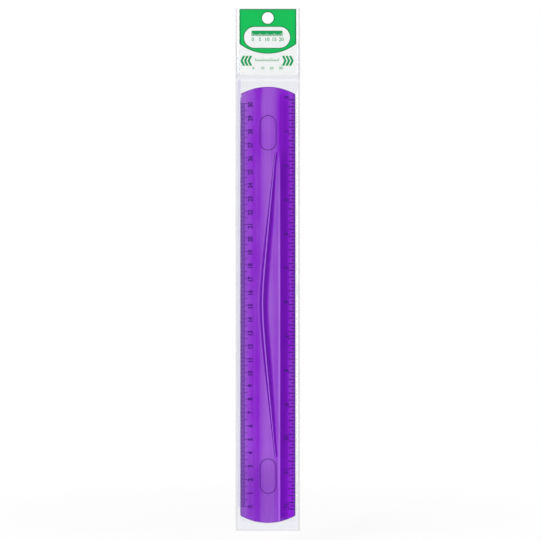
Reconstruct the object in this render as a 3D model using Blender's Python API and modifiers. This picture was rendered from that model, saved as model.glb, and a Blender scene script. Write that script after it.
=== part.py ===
"""Flexible ruler in its hanging bag.

A translucent plastic blade, bevelled on both sides and with a long crescent rib on its face, sits in
a clear film pouch. A printed card stiffens the pouch's header, which has a round hang hole.
Behind the card is the pouch's mouth, closed by a flap of the back film with an adhesive strip.

Metres, +Z up. The origin is the centre of the hang hole, and the ruler's face looks along -Y.
"""

import math

import bmesh
import bpy
from mathutils import Matrix

# Clearances that all pieces share
GAP = 0.0003
OVERRUN = 0.0020

# Blade
BLADE_LENGTH = 0.3245
BLADE_WIDTH = 0.0410
BLADE_THICKNESS = 0.0018
EDGE_THICKNESS = 0.0009
EDGE_BAND_WIDTH = 0.0055
PLATEAU_WIDTH = 0.0186
PLATEAU_CROWN = 0.00012
END_RISE = 0.0053
CORNER_RADIUS = 0.0016

# Crescent rib on the blade's face
RIB_END_MARGIN = 0.0491
RIB_BOW = 0.0098
RIB_OFFSET = 0.0043
RIB_BEND_SHARE = 0.17
RIB_WIDTH = 0.0050
RIB_HEIGHT = 0.0005
RIB_TIP_WIDTH = 0.0012
RIB_TIP_HEIGHT = 0.0001
RIB_ROOT = 0.0004
RIB_STEEP_SHARE = 0.20
RIB_HOLLOW_WIDTH_SHARE = 0.45
RIB_HOLLOW_HEIGHT_SHARE = 0.38

# Graduations, moulded as fine grooves in the two edge bands
GROOVE_WIDTH = 0.0002
GROOVE_DEPTH = 0.0001
MILLIMETRE_PITCH = 0.0010
MILLIMETRE_TICK = 0.0034
CENTIMETRE_TICK = 0.0052
CENTIMETRE_MARGIN = 0.0121
TENTH_INCH_PITCH = 0.00254
SHORT_INCH_TICK = 0.0031
LONG_INCH_TICK = 0.0052
INCH_MARGIN = 0.0096

# Film of the bag, and its room round the blade
FILM_THICKNESS = 0.0001
BAG_SIDE_ROOM = 0.0035
BAG_TOE_ROOM = 0.0062
BAG_MOUTH_ROOM = 0.0060
SIDE_WELD = 0.0014
BOTTOM_WELD = 0.0015
HEADER_WELD = 0.0024
WELD_RAMP = 0.0006
TOE_CLEARANCE = 0.0005

# Header card, and the hole through the whole header
HOLE_DIAMETER = 0.0085
HOLE_TO_CARD_TOP = 0.00245
CARD_HEIGHT = 0.0490
CARD_THICKNESS = 0.0004
CARD_SIDE_ROOM = 0.0028
CARD_TOP_ROOM = 0.0007

# Closing flap and its adhesive strip
FLAP_TO_HOLE = 0.00945
FLAP_CORNER = 0.0040
STRIP_HEIGHT = 0.0060
STRIP_THICKNESS = 0.0001
STRIP_INSET = 0.0015
STRIP_SIDE_ROOM = 0.0045

# How finely the curves are drawn
END_STEPS = 28
CROWN_STEPS = 10
CORNER_STEPS = 4
RIB_STEPS = 44
SLOPE_STEPS = 6
HOLE_STEPS = 48

# Widths and heights, from the top of the bag to its bottom
BAG_WIDTH = BLADE_WIDTH + 2 * BAG_SIDE_ROOM
CARD_WIDTH = BAG_WIDTH - 2 * CARD_SIDE_ROOM
HOLE_RADIUS = HOLE_DIAMETER / 2
CARD_TOP_Z = HOLE_RADIUS + HOLE_TO_CARD_TOP
CARD_BOTTOM_Z = CARD_TOP_Z - CARD_HEIGHT
BAG_TOP_Z = CARD_TOP_Z + CARD_TOP_ROOM
SEAL_TOP_Z = CARD_BOTTOM_Z - GAP
MOUTH_Z = SEAL_TOP_Z - HEADER_WELD
BLADE_TOP_Z = MOUTH_Z - BAG_MOUTH_ROOM
BLADE_BOTTOM_Z = BLADE_TOP_Z - BLADE_LENGTH
BLADE_MIDDLE_Z = (BLADE_TOP_Z + BLADE_BOTTOM_Z) / 2
TOE_Z = BLADE_BOTTOM_Z - TOE_CLEARANCE
BAG_BOTTOM_Z = BLADE_BOTTOM_Z - BAG_TOE_ROOM
BOTTOM_WELD_Z = BAG_BOTTOM_Z + BOTTOM_WELD
FLAP_TOP_Z = -HOLE_RADIUS - FLAP_TO_HOLE

# Depths, from the front of the header to the back of the bag
CARD_FRONT_Y = -CARD_THICKNESS / 2
HEADER_FRONT_INSIDE_Y = CARD_FRONT_Y - GAP
HEADER_BACK_INSIDE_Y = CARD_THICKNESS / 2 + GAP
HEADER_SEAL_Y = HEADER_BACK_INSIDE_Y - GAP
HEADER_BACK_OUTSIDE_Y = HEADER_BACK_INSIDE_Y + FILM_THICKNESS
RIB_CREST_Y = HEADER_BACK_OUTSIDE_Y + GAP
BLADE_FRONT_Y = RIB_CREST_Y + RIB_HEIGHT
BLADE_BACK_Y = BLADE_FRONT_Y + BLADE_THICKNESS
BAND_Y = BLADE_BACK_Y - EDGE_THICKNESS
STRIP_FRONT_Y = BLADE_BACK_Y + GAP
BACK_INSIDE_Y = STRIP_FRONT_Y + STRIP_THICKNESS + GAP
BACK_OUTSIDE_Y = BACK_INSIDE_Y + FILM_THICKNESS
WELD_Y = BACK_INSIDE_Y - GAP
CREASE_Y = BACK_OUTSIDE_Y + GAP / 2

# Colours from the photograph, linear
PURPLE = (0.262, 0.056, 0.565)
CLEAR = (0.86, 0.88, 0.90)
GREEN = (0.004, 0.546, 0.107)
TAPE = (0.80, 0.80, 0.76)


def clear_scene():
    for old in list(bpy.data.objects):
        bpy.data.objects.remove(old, do_unlink=True)


def new_collection(name):
    collection = bpy.data.collections.new(name)
    bpy.context.scene.collection.children.link(collection)
    return collection


def new_material(name, colour, roughness, alpha=1.0):
    material = bpy.data.materials.new(name)
    material.use_nodes = True
    shader = material.node_tree.nodes["Principled BSDF"]
    shader.inputs["Base Color"].default_value = (*colour, 1.0)
    shader.inputs["Roughness"].default_value = roughness
    shader.inputs["Metallic"].default_value = 0.0
    shader.inputs["Alpha"].default_value = alpha
    return material


def new_object(name, mesh, collection, material=None):
    piece = bpy.data.objects.new(name, mesh)
    collection.objects.link(piece)
    if material:
        mesh.materials.append(material)
    return piece


def flat_sheet(name, corners, front_y, thickness, collection, material=None):
    """A flat outline in the XZ plane, made solid from front_y backwards."""
    curve = bpy.data.curves.new(name + "_outline", "CURVE")
    curve.dimensions = "2D"
    curve.fill_mode = "BOTH"
    curve.extrude = thickness / 2
    spline = curve.splines.new("POLY")
    spline.points.add(len(corners) - 1)
    for point, (x, z) in zip(spline.points, corners):
        point.co = (x, z, 0, 1)
    spline.use_cyclic_u = True
    outline = bpy.data.objects.new(name + "_outline", curve)
    outline.rotation_euler = (math.radians(90), 0, 0)
    outline.location = (0, front_y + thickness / 2, 0)
    collection.objects.link(outline)
    bpy.context.view_layer.update()
    evaluated = outline.evaluated_get(bpy.context.evaluated_depsgraph_get())
    mesh = bpy.data.meshes.new_from_object(evaluated)
    mesh.name = name
    mesh.transform(outline.matrix_world)
    bpy.data.objects.remove(outline, do_unlink=True)
    shape = bmesh.new()
    shape.from_mesh(mesh)
    bmesh.ops.remove_doubles(shape, verts=shape.verts, dist=GAP / 100)
    bmesh.ops.recalc_face_normals(shape, faces=shape.faces)
    shape.to_mesh(mesh)
    shape.free()
    return new_object(name, mesh, collection, material)


def box_corners(width, top_z, bottom_z):
    half = width / 2
    return [(-half, bottom_z), (half, bottom_z), (half, top_z), (-half, top_z)]


def loft(name, rings, closed_ends, collection, material=None):
    """Joins rings of equal count with quads. Closed rings with closed ends make a solid."""
    shape = bmesh.new()
    rows = [[shape.verts.new(point) for point in ring] for ring in rings]
    count = len(rows[0])
    sides = count if closed_ends else count - 1
    for near, far in zip(rows, rows[1:]):
        for i in range(sides):
            j = (i + 1) % count
            shape.faces.new((near[i], near[j], far[j], far[i]))
    if closed_ends:
        shape.faces.new(rows[0])
        shape.faces.new(rows[-1])
    bmesh.ops.recalc_face_normals(shape, faces=shape.faces)
    mesh = bpy.data.meshes.new(name)
    shape.to_mesh(mesh)
    shape.free()
    return new_object(name, mesh, collection, material)


def as_cutter(piece):
    piece.hide_render = True
    piece.display_type = "WIRE"
    return piece


def add_boolean(piece, other, operation):
    modifier = piece.modifiers.new(operation.capitalize(), "BOOLEAN")
    modifier.operation = operation
    modifier.solver = "EXACT"
    modifier.object = other


def add_thickness(piece, thickness):
    modifier = piece.modifiers.new("Thickness", "SOLIDIFY")
    modifier.thickness = thickness
    modifier.offset = 0
    modifier.use_even_offset = True


def end_radius():
    half = BLADE_WIDTH / 2
    return (half**2 + END_RISE**2) / (2 * END_RISE)


def end_height(x):
    """How far the rounded end of the blade lies beyond its corners at x."""
    radius = end_radius()
    return math.sqrt(radius**2 - x**2) - (radius - END_RISE)


def blade_outline(collection):
    """A prism with the blade's outline, deeper than the blade on both sides."""
    half = BLADE_WIDTH / 2
    top = BLADE_TOP_Z - END_RISE
    bottom = BLADE_BOTTOM_Z + END_RISE
    across = [-half + BLADE_WIDTH * i / END_STEPS for i in range(END_STEPS + 1)]
    lower = [(x, bottom - end_height(x)) for x in across]
    upper = [(x, top + end_height(x)) for x in reversed(across)]
    depth = BLADE_THICKNESS + RIB_HEIGHT + 2 * OVERRUN
    prism = flat_sheet("blade_outline", lower + upper, RIB_CREST_Y - OVERRUN, depth, collection)
    round_corners(prism.data, half)
    return as_cutter(prism)


def round_corners(mesh, half_width):
    """Rounds the edges that run through the outline's depth at its four corners."""
    shape = bmesh.new()
    shape.from_mesh(mesh)
    near_side = half_width - GAP / 100
    corners = []
    for edge in shape.edges:
        a, b = edge.verts
        runs_deep = abs(a.co.y - b.co.y) > GAP
        if runs_deep and abs(a.co.x) > near_side:
            corners.append(edge)
    bmesh.ops.bevel(
        shape,
        geom=corners,
        offset=CORNER_RADIUS,
        offset_type="OFFSET",
        segments=CORNER_STEPS,
        profile=0.5,
        affect="EDGES",
    )
    shape.to_mesh(mesh)
    shape.free()


def blade_section():
    """The blade's cross-section: flat back, two thin scale bands, two bevels and a crowned middle."""
    half = BLADE_WIDTH / 2
    band = half - EDGE_BAND_WIDTH
    middle = PLATEAU_WIDTH / 2
    section = [(half, BLADE_BACK_Y), (half, BAND_Y), (band, BAND_Y)]
    for i in range(CROWN_STEPS + 1):
        share = 1 - 2 * i / CROWN_STEPS
        section.append((middle * share, BLADE_FRONT_Y + PLATEAU_CROWN * share**2))
    section += [(-band, BAND_Y), (-half, BAND_Y), (-half, BLADE_BACK_Y)]
    return section


def rib_crest_x(along):
    """Where the rib's crest lies across the blade: round in the middle, nearly straight to its tips."""
    reach = math.hypot(along, RIB_BEND_SHARE) - RIB_BEND_SHARE
    full_reach = math.hypot(1, RIB_BEND_SHARE) - RIB_BEND_SHARE
    return RIB_BOW * reach / full_reach - RIB_OFFSET


def rib_ring(along):
    """One section of the rib. Along runs from -1 at its lower tip to 1 at its upper tip."""
    fullness = 1 - along**2
    width = RIB_TIP_WIDTH + (RIB_WIDTH - RIB_TIP_WIDTH) * fullness
    height = RIB_TIP_HEIGHT + (RIB_HEIGHT - RIB_TIP_HEIGHT) * fullness
    crest_x = rib_crest_x(along)
    left_x = crest_x - width * RIB_STEEP_SHARE
    right_x = left_x + width
    hollow_x = crest_x + (right_x - crest_x) * RIB_HOLLOW_WIDTH_SHARE
    z = BLADE_MIDDLE_Z + along * (BLADE_LENGTH / 2 - RIB_END_MARGIN)
    surface_y = BLADE_FRONT_Y
    root_y = surface_y + RIB_ROOT
    return [
        (left_x, root_y, z),
        (left_x, surface_y + PLATEAU_CROWN / 2, z),
        (crest_x, surface_y - height, z),
        (hollow_x, surface_y - height * RIB_HOLLOW_HEIGHT_SHARE, z),
        (right_x, surface_y + PLATEAU_CROWN / 2, z),
        (right_x, root_y, z),
    ]


def add_groove(shape, side, length, z):
    """One box cutter from the blade's edge inwards. Side is -1 on the left and 1 on the right."""
    run = length + OVERRUN
    centre_x = side * (BLADE_WIDTH / 2 + OVERRUN - run / 2)
    centre_y = BAND_Y + (GROOVE_DEPTH - OVERRUN) / 2
    size = Matrix.Diagonal((run, OVERRUN + GROOVE_DEPTH, GROOVE_WIDTH, 1))
    place = Matrix.Translation((centre_x, centre_y, z))
    bmesh.ops.create_cube(shape, size=1, matrix=place @ size)


def tick_count(margin, pitch):
    """How many whole divisions fit between equal margins at the blade's ends."""
    return int((BLADE_LENGTH - 2 * margin) / pitch)


def graduations(cutters):
    """Centimetres and millimetres up the left edge, tenths of an inch down the right edge."""
    shape = bmesh.new()
    zero_z = BLADE_BOTTOM_Z + CENTIMETRE_MARGIN
    for i in range(1 + tick_count(CENTIMETRE_MARGIN, MILLIMETRE_PITCH)):
        length = MILLIMETRE_TICK if i % 5 else CENTIMETRE_TICK
        add_groove(shape, -1, length, zero_z + i * MILLIMETRE_PITCH)
    zero_z = BLADE_TOP_Z - INCH_MARGIN
    for i in range(1 + tick_count(INCH_MARGIN, TENTH_INCH_PITCH)):
        length = SHORT_INCH_TICK if i % 2 else LONG_INCH_TICK
        add_groove(shape, 1, length, zero_z - i * TENTH_INCH_PITCH)
    mesh = bpy.data.meshes.new("graduations")
    shape.to_mesh(mesh)
    shape.free()
    return as_cutter(new_object("graduations", mesh, cutters))


def make_blade(parts, cutters, material):
    section = blade_section()
    lower = [(x, y, BLADE_BOTTOM_Z - OVERRUN) for x, y in section]
    upper = [(x, y, BLADE_TOP_Z + OVERRUN) for x, y in section]
    blade = loft("blade", [lower, upper], True, parts, material)
    add_boolean(blade, blade_outline(cutters), "INTERSECT")
    shares = [2 * i / RIB_STEPS - 1 for i in range(RIB_STEPS + 1)]
    rib = loft("blade_rib", [rib_ring(share) for share in shares], True, cutters)
    add_boolean(blade, as_cutter(rib), "UNION")
    add_boolean(blade, graduations(cutters), "DIFFERENCE")
    return blade


def smooth_share(value, start, end):
    """0 at start, 1 at end, with a soft run between them."""
    share = min(max((value - start) / (end - start), 0), 1)
    return share * share * (3 - 2 * share)


def straight_y(x, stations):
    """Reads a section given as (x, y) stations, from the middle outwards."""
    for (x0, y0), (x1, y1) in zip(stations, stations[1:]):
        if x <= x1:
            return y0 + (y1 - y0) * (x - x0) / (x1 - x0)
    return stations[-1][1]


def pouch_stations():
    """The front film's inside over the blade, from its middle to the side weld."""
    weld_x = BAG_WIDTH / 2 - SIDE_WELD
    return [
        (0, RIB_CREST_Y - GAP),
        (PLATEAU_WIDTH / 2, RIB_CREST_Y - GAP),
        (BLADE_WIDTH / 2 + GAP, BAND_Y - GAP),
        (weld_x, WELD_Y),
        (BAG_WIDTH / 2, WELD_Y),
    ]


def header_stations():
    """The front film's inside over the header card, from its middle to the side weld."""
    weld_x = BAG_WIDTH / 2 - SIDE_WELD
    return [
        (0, HEADER_FRONT_INSIDE_Y),
        (CARD_WIDTH / 2 + GAP, HEADER_FRONT_INSIDE_Y),
        (weld_x, HEADER_SEAL_Y),
        (BAG_WIDTH / 2, HEADER_SEAL_Y),
    ]


def front_inside_y(x, z):
    """Depth of the front film's inside at any place on the bag."""
    header_y = straight_y(abs(x), header_stations())
    pouch_y = straight_y(abs(x), pouch_stations())
    to_seal = smooth_share(z, SEAL_TOP_Z, SEAL_TOP_Z - WELD_RAMP)
    to_pouch = smooth_share(z, MOUTH_Z, BLADE_TOP_Z - END_RISE)
    to_weld = smooth_share(z, TOE_Z, BOTTOM_WELD_Z)
    depth = header_y + (HEADER_SEAL_Y - header_y) * to_seal
    depth += (pouch_y - depth) * to_pouch
    return depth + (WELD_Y - depth) * to_weld


def steps_between(start, end, count):
    return [start + (end - start) * i / count for i in range(count)]


def front_film_lines():
    """Widths and heights at which the front film has a line of points."""
    halves = [0, PLATEAU_WIDTH / 2, BLADE_WIDTH / 2 + GAP, CARD_WIDTH / 2 + GAP]
    halves += [BAG_WIDTH / 2 - SIDE_WELD, BAG_WIDTH / 2]
    across = [-x for x in reversed(halves[1:])] + halves
    corner_z = BLADE_TOP_Z - END_RISE
    down = [BAG_TOP_Z]
    down += steps_between(SEAL_TOP_Z, SEAL_TOP_Z - WELD_RAMP, SLOPE_STEPS // 2)
    down += [SEAL_TOP_Z - WELD_RAMP]
    down += steps_between(MOUTH_Z, corner_z, SLOPE_STEPS)
    down += [corner_z]
    down += steps_between(TOE_Z, BOTTOM_WELD_Z, SLOPE_STEPS)
    down += [BOTTOM_WELD_Z, BAG_BOTTOM_Z]
    return across, down


def make_front_film(parts, hole, material):
    across, down = front_film_lines()
    middle = FILM_THICKNESS / 2
    rows = [[(x, front_inside_y(x, z) - middle, z) for x in across] for z in down]
    film = loft("front_film", rows, False, parts, material)
    add_thickness(film, FILM_THICKNESS)
    add_boolean(film, hole, "DIFFERENCE")
    return film


def make_header_back_film(parts, hole, material):
    corners = box_corners(BAG_WIDTH, BAG_TOP_Z, MOUTH_Z)
    film = flat_sheet(
        "header_back_film", corners, HEADER_BACK_INSIDE_Y, FILM_THICKNESS, parts, material
    )
    add_boolean(film, hole, "DIFFERENCE")
    return film


def make_header_card(parts, hole, material):
    corners = box_corners(CARD_WIDTH, CARD_TOP_Z, CARD_BOTTOM_Z)
    card = flat_sheet("header_card", corners, CARD_FRONT_Y, CARD_THICKNESS, parts, material)
    add_boolean(card, hole, "DIFFERENCE")
    return card


def make_back_film(parts, material):
    corners = box_corners(BAG_WIDTH, MOUTH_Z - GAP, BAG_BOTTOM_Z)
    return flat_sheet("back_film", corners, BACK_INSIDE_Y, FILM_THICKNESS, parts, material)


def flap_corners():
    half = BAG_WIDTH / 2
    bottom_z = MOUTH_Z + GAP
    return [
        (-half, bottom_z),
        (half, bottom_z),
        (half, FLAP_TOP_Z - FLAP_CORNER),
        (half - FLAP_CORNER, FLAP_TOP_Z),
        (-half + FLAP_CORNER, FLAP_TOP_Z),
        (-half, FLAP_TOP_Z - FLAP_CORNER),
    ]


def hang_on_crease(piece, crease):
    """Puts a piece's origin on the flap's crease without moving its surface."""
    offset = crease.location
    for point in piece.data.vertices:
        point.co -= offset
    piece.parent = crease


def make_flap(parts, film_material, tape_material):
    crease = bpy.data.objects.new("flap_crease", None)
    crease.location = (0, CREASE_Y, MOUTH_Z)
    parts.objects.link(crease)
    flap = flat_sheet(
        "closing_flap", flap_corners(), BACK_INSIDE_Y, FILM_THICKNESS, parts, film_material
    )
    strip_top = FLAP_TOP_Z - STRIP_INSET
    strip_length = BAG_WIDTH - 2 * STRIP_SIDE_ROOM
    corners = box_corners(strip_length, strip_top, strip_top - STRIP_HEIGHT)
    strip = flat_sheet(
        "adhesive_strip", corners, STRIP_FRONT_Y, STRIP_THICKNESS, parts, tape_material
    )
    hang_on_crease(flap, crease)
    hang_on_crease(strip, crease)


def hang_hole(cutters):
    """A round bar through the header along Y."""
    shape = bmesh.new()
    depth = BACK_OUTSIDE_Y + 2 * OVERRUN
    bmesh.ops.create_cone(
        shape,
        cap_ends=True,
        segments=HOLE_STEPS,
        radius1=HOLE_RADIUS,
        radius2=HOLE_RADIUS,
        depth=2 * depth,
    )
    mesh = bpy.data.meshes.new("hang_hole")
    shape.to_mesh(mesh)
    shape.free()
    bar = new_object("hang_hole", mesh, cutters)
    bar.rotation_euler = (math.radians(90), 0, 0)
    return as_cutter(bar)


def build():
    clear_scene()
    parts = new_collection("flexible_ruler")
    cutters = new_collection("cutters")
    blade_plastic = new_material("blade_plastic", PURPLE, 0.30)
    clear_film = new_material("clear_film", CLEAR, 0.10, 0.15)
    header_board = new_material("header_board", GREEN, 0.45)
    strip_tape = new_material("strip_tape", TAPE, 0.35)
    hole = hang_hole(cutters)
    make_blade(parts, cutters, blade_plastic)
    make_front_film(parts, hole, clear_film)
    make_back_film(parts, clear_film)
    make_header_card(parts, hole, header_board)
    make_header_back_film(parts, hole, clear_film)
    make_flap(parts, clear_film, strip_tape)


build()
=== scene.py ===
"""Finish of a flexible ruler in its clear hanging bag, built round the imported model.

The blade is moulded purple plastic with inked centimetre and inch scales. It lies in a pouch of clear
film, heat-sealed at its sides and its foot. A printed card stiffens the header, and a flap with an
adhesive strip closes the pouch behind it.

Metres, +Z up. The origin is the centre of the hang hole, and the ruler's face looks along -Y.
"""

import math

import bpy
from mathutils import Matrix, Vector, noise


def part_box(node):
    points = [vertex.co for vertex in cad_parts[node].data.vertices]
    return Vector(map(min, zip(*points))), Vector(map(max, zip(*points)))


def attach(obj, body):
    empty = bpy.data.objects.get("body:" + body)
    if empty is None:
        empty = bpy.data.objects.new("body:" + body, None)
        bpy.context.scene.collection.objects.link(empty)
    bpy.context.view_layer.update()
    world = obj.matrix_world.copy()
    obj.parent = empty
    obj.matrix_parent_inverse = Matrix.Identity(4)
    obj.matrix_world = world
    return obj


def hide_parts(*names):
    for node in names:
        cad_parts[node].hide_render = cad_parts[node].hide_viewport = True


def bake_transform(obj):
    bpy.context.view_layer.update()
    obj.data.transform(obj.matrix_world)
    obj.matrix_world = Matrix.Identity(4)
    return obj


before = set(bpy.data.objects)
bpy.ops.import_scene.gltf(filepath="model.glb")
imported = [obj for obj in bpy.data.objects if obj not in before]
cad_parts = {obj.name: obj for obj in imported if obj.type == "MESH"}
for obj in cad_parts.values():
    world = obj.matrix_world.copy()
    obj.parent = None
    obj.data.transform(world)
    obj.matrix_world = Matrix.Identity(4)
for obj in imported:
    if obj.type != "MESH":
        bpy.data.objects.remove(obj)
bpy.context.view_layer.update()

QUARTER_TURN = math.radians(90)
UPRIGHT = (QUARTER_TURN, 0, 0)
SMOOTH_ANGLE = math.radians(32)

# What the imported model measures
BLADE_LOW, BLADE_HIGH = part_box("blade")
CARD_LOW, CARD_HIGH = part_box("header_card")
FRONT_LOW, FRONT_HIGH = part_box("front_film")
BACK_LOW, BACK_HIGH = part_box("back_film")
HEADER_BACK_LOW, HEADER_BACK_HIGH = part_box("header_back_film")
FLAP_LOW, FLAP_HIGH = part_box("closing_flap")
STRIP_LOW, STRIP_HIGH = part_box("adhesive_strip")

# Clearance between pieces
GAP = 0.0003

# Blade
PLATEAU_WIDTH = 0.0186
PLATEAU_CROWN = 0.00012
EDGE_BAND_WIDTH = 0.0055
BLADE_THICKNESS = 0.0018
EDGE_THICKNESS = 0.0009
END_RISE = 0.0053
CORNER_RADIUS = 0.0016
SHOULDER_RADIUS = 0.00035
EDGE_ROUNDING = 0.00016
EDGE_ROUNDING_STEPS = 3
SHARP_ANGLE = math.radians(50)
END_BEND_SHARE = 0.90

# Rows of faces on the blade, and columns in a corner, on a slope and beside the rib
BLADE_ROWS = 216
CORNER_COLUMNS = 6
SLOPE_COLUMNS = 5
PLATEAU_COLUMNS = 9

# Crescent rib on the blade's face
RIB_END_MARGIN = 0.0491
RIB_BOW = 0.0098
RIB_OFFSET = 0.0043
RIB_BEND_SHARE = 0.17
RIB_WIDTH = 0.0050
RIB_HEIGHT = 0.0005
RIB_TIP_WIDTH = 0.0012
RIB_TIP_HEIGHT = 0.0001
RIB_STEEP_SHARE = 0.20
RIB_FADE_SHARE = 0.03

# The rib's section, as shares of its width and of its height, with a groove at its steep foot
RIB_SECTION_SHARES = (
    (-0.28, 0.00), (-0.20, -0.10), (-0.12, -0.22), (-0.06, -0.22), (0.00, -0.05), (0.06, 0.22),
    (0.12, 0.58), (0.17, 0.92), (0.20, 1.00), (0.24, 0.95), (0.30, 0.76), (0.38, 0.58),
    (0.47, 0.45), (0.56, 0.36), (0.67, 0.25), (0.78, 0.15), (0.90, 0.05), (1.00, 0.00),
)

# Painted highlight and shade across the rib: how light or deep the plastic is made to look, as shares
# of the rib's width
RIB_SHADE_SHARES = (
    (-0.48, 0.0), (-0.28, 0.08), (-0.15, 0.0), (-0.04, -1.10), (0.14, -1.10), (0.22, 0.80),
    (0.33, 0.80), (0.41, -1.30), (0.66, -1.20), (0.93, -0.6), (1.26, 0.0),
)
RIB_SHADE_TIP_WIDTH = 0.0018
RIB_SHADE_FADE_SHARE = 0.012

# Ink of the scales
INK_PROUD = 0.00003
INK_DEPTH = 0.00010
EDGE_CLEARANCE = 0.00025
MILLIMETRE_PITCH = 0.0010
MILLIMETRE_TICK = 0.0034
MILLIMETRE_TICK_WIDTH = 0.00042
CENTIMETRE_TICK = 0.0052
CENTIMETRE_MARGIN = 0.0121
CENTIMETRES = 30
TENTH_INCH_PITCH = 0.00254
INCH_TICK_WIDTH = 0.00076
SHORT_INCH_TICK = 0.0031
LONG_INCH_TICK = 0.0052
INCH_MARGIN = 0.0096
INCHES = 12
NUMBER_HEIGHT = 0.0033
NUMBER_NARROWING = 0.84
NUMBER_BOLDNESS = 0.00020
CENTIMETRE_NUMBER_X = -0.0129
INCH_NUMBER_X = 0.0137
# How far each number ends past its mark, the way it reads
CENTIMETRE_NUMBER_END = 0.0010
INCH_NUMBER_END = -0.0008
# A digit's height as a share of the font's size, and how finely its curves are drawn
GLYPH_HEIGHT_SHARE = 0.70
GLYPH_STEPS = 4
# Points nearer than this share of the ink's thickness become one
MERGE_SHARE = 0.1

# Frames near the blade's ends, with their corners rounded by nearly half their width
FRAME_WIDTH = 0.0124
FRAME_HEIGHT = 0.0262
FRAME_LINE = 0.00050
FRAME_X = 0.0002
FRAME_ROUNDING = FRAME_WIDTH * 0.4999
FRAME_ROUNDING_STEPS = 14
TOP_FRAME_Z = -0.0852
BOTTOM_FRAME_Z = -0.3407

# Header card and the print on it
HOLE_DIAMETER = 0.0085
HOLE_STEPS = 64
CARD_SIDE_TO_FIELD_END = 0.0259
FIELD_BOW = 0.0073
FIELD_BOW_STEPS = 32
KEYLINE = 0.00085
PRINT_THICKNESS = 0.00002
PANEL_WIDTH = 0.0341
PANEL_HEIGHT = 0.0156
PANEL_X = -0.0006
PANEL_Z = -0.0144
PANEL_END_STEPS = 18

# The card's motif: a bar with notches and plain numbers, over a small scale between chevrons
BAR_WIDTH = 0.0230
BAR_HEIGHT = 0.0040
BAR_RISE = 0.0030
BAR_SCALE_WIDTH = 0.92 * BAR_WIDTH
NOTCHES = 21
NOTCHES_TO_A_LONG_ONE = 5
NOTCH_WIDTH = 0.00035
LONG_NOTCH = 0.0020
SHORT_NOTCH = 0.0012
PANEL_DIGITS = ("0", "5", "10", "15", "20")
PANEL_DIGIT = 0.0026
PANEL_DIGIT_DROP = 0.0033
PRINTED_BOLDNESS_SHARE = 0.02
CHEVRONS = 3
CHEVRON_PITCH = 0.0026
CHEVRON_WIDTH = 0.0018
CHEVRON_HEIGHT = 0.0074
CHEVRON_LEAN = 0.0018
CHEVRON_X = 0.0110
LOWER_MOTIF_Z = -0.0318
LOWER_LINE_WIDTH = 0.0174
LOWER_LINE_THICKNESS = 0.0003
LOWER_TICKS = 16
LOWER_DIGITS = ("0", "10", "20", "30")
LOWER_DIGITS_WIDTH = 0.0204
LOWER_DIGIT = 0.0020
LOWER_DIGIT_Z = -0.0373

# Film of the bag
FILM_THICKNESS = 0.0001
SIDE_WELD = 0.0014
BOTTOM_WELD = 0.0015
HEADER_WELD = 0.0024
TOE_CLEARANCE = 0.0005
FILM_REST_GAP = 0.00018
HOLE_CUTTER_STEPS = 96
HOLE_CUTTER_DEPTH = 0.02
FLAP_CORNER = 0.0040
FOLD_REACH = 0.0018
# Size of a film's faces: longer than wide, but short on the flap, which rolls
FILM_CELL = 0.00075
FILM_ROW = 1.6 * FILM_CELL
FLAP_ROW = 0.6 * FILM_CELL

# Waves in the film: height, lengths across and along the bag and, for most, a seed of the noise
WELD_WAVE_HEIGHT = 0.00010
WELD_WAVE_LENGTH = 0.012
WELD_WAVE_REACH = 0.004
WELD_SEEDS = (0.0, 7.0)
SLOW_PUCKER = (0.00034, 0.020, 0.030)
QUICK_PUCKER = (0.00008, 0.010, 0.011)
PUCKER_SEEDS = (11.0, 3.0)
QUICK_PUCKER_SEED_STEP = 5
PUCKER_FADE = 0.0006
FAN_HEIGHT = 0.00010
FAN_SPACING = 0.0029
FAN_BEND = (14, 0.05, 0.04, 1.0)
MOUTH_CREASE = (0.00030, 0.007, 0.013, 2.0)
MOUTH_CREASE_EDGE_SHARE = 0.5
TOE_CREASE = (0.00030, 0.006, 0.009, 4.0)
EDGE_FADE = 0.003
BILLOW_MIDDLE = 0.5
HEADER_BILLOW = (0.00012, 0.014, 0.014, 9.0)
BACK_BILLOW = (0.00016, 0.016, 0.035, 5.0)
FLAP_BILLOW = (0.00014, 0.018, 0.016, 6.0)

# Photograph: the size of a pixel, from the ruler's scale, and where its middle lies
PICTURE_SIDE_PIXELS = 540
PIXEL = 0.000744
PICTURE_MIDDLE_X = 0.0016
PICTURE_MIDDLE_Z = -0.1873
LENS_MM = 135.0
SENSOR_MM = 36.0

# Places worked out from the above
HALF_WIDTH = (BLADE_HIGH.x - BLADE_LOW.x) / 2
BLADE_TOP_Z = BLADE_HIGH.z
BLADE_BOTTOM_Z = BLADE_LOW.z
BLADE_MIDDLE_Z = (BLADE_TOP_Z + BLADE_BOTTOM_Z) / 2
HALF_LENGTH = (BLADE_TOP_Z - BLADE_BOTTOM_Z) / 2
BLADE_BACK_Y = BLADE_HIGH.y
FACE_Y = BLADE_BACK_Y - BLADE_THICKNESS
BAND_Y = BLADE_BACK_Y - EDGE_THICKNESS
HALF_PLATEAU = PLATEAU_WIDTH / 2
BAND_X = HALF_WIDTH - EDGE_BAND_WIDTH
END_RADIUS = (HALF_WIDTH**2 + END_RISE**2) / (2 * END_RISE)
RIB_HALF_LENGTH = HALF_LENGTH - RIB_END_MARGIN
CENTIMETRE_ZERO_Z = BLADE_BOTTOM_Z + CENTIMETRE_MARGIN
INCH_ZERO_Z = BLADE_TOP_Z - INCH_MARGIN
HALF_BAG = FRONT_HIGH.x
WELD_X = HALF_BAG - SIDE_WELD
HALF_CARD = CARD_HIGH.x
HOLE_RADIUS = HOLE_DIAMETER / 2
SEAL_TOP_Z = CARD_LOW.z - GAP
MOUTH_Z = SEAL_TOP_Z - HEADER_WELD
BACK_TOP_Z = MOUTH_Z - FOLD_REACH
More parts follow.
